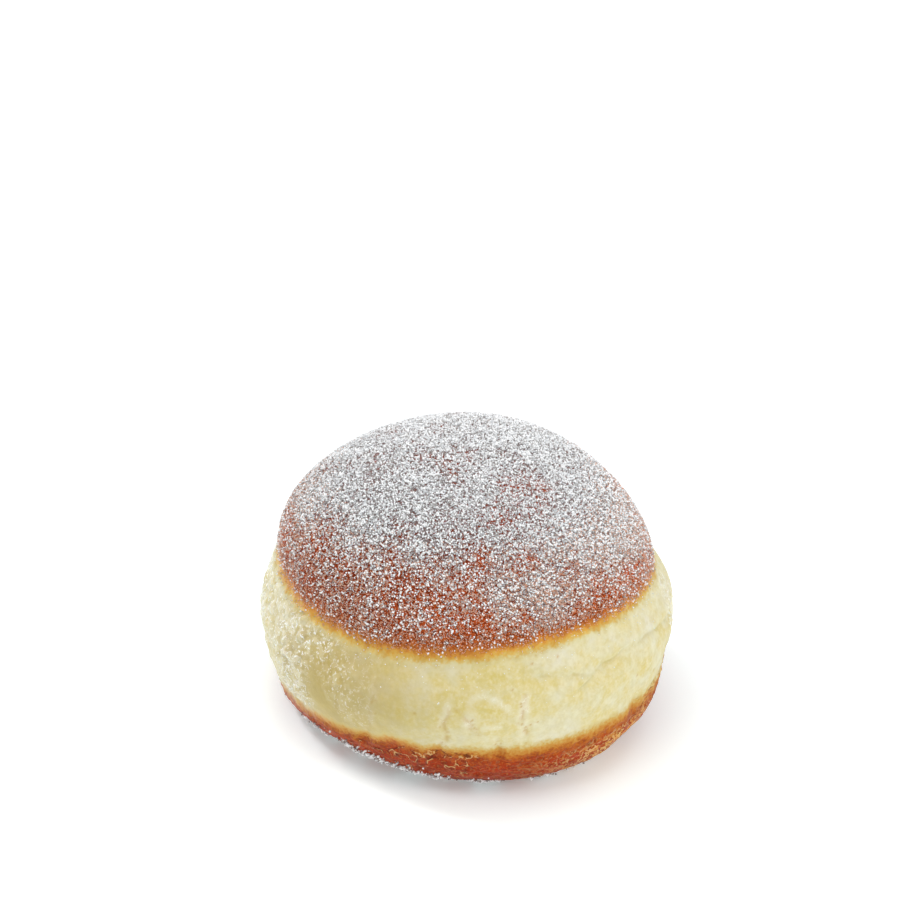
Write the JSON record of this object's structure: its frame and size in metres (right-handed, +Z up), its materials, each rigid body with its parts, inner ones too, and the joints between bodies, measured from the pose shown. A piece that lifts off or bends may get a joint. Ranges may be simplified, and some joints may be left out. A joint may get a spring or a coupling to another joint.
{
  "type": "paczki",
  "caption": "Round raised doughnut, uncut and with no hole: a browned domed top dusted with sugar, a pale soft band round the middle and a browned flat base to rest on.",
  "frame": {"origin": "middle of the bounding box, on the surface that the doughnut stands on", "axes": "+Z up through the dome, -Y towards the side shown at the front, +X to its right"},
  "size_m": [0.0854, 0.0856, 0.061],
  "materials": {
    "dough": "fried yeast dough: browned crust above and below, pale moist crumb skin between",
    "sugar": "loose white sugar grains"
  },
  "bodies": {
    "root": {"paczki": "dough"}
  },
  "joints": []
}
